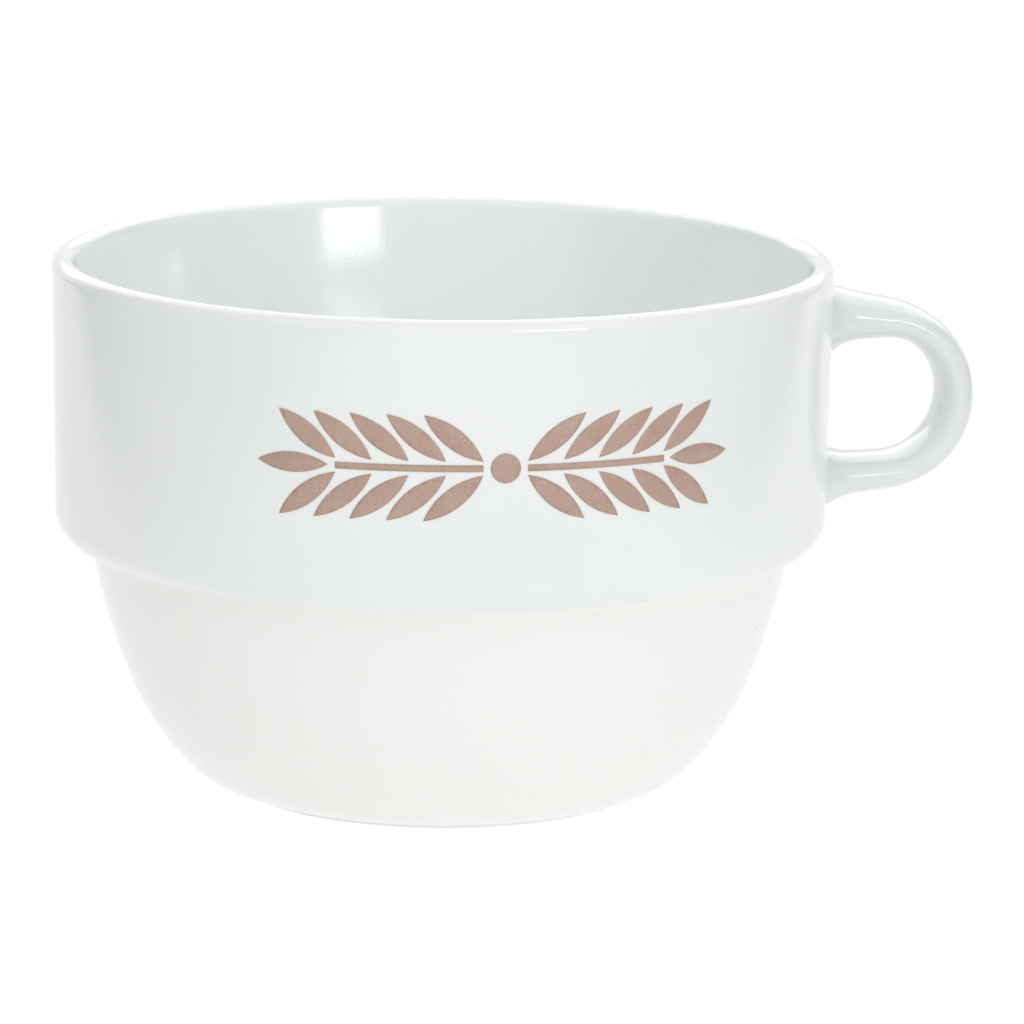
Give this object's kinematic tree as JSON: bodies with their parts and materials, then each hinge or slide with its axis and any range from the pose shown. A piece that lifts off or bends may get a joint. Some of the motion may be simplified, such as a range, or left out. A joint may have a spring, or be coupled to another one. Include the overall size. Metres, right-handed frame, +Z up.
{
  "type": "mug",
  "caption": "Wide stacking breakfast mug in white glazed earthenware, with a straight band over a rounded bowl, a small loop handle and a taupe leaf garland printed on the front.",
  "frame": {"origin": "centre of the foot ring, on the table", "axes": "+Z up along the cup's axis, +X towards the handle, -Y towards the printed garland"},
  "size_m": [0.1438, 0.12, 0.0824],
  "materials": {
    "glazed_white": "gloss",
    "slip_white": "gloss",
    "print_taupe": "satin"
  },
  "bodies": {
    "root": {"cup_body": "glazed_white", "handle": "glazed_white", "upper_handle_joint": "slip_white", "lower_handle_joint": "slip_white", "printed_garland": "print_taupe"}
  },
  "joints": []
}
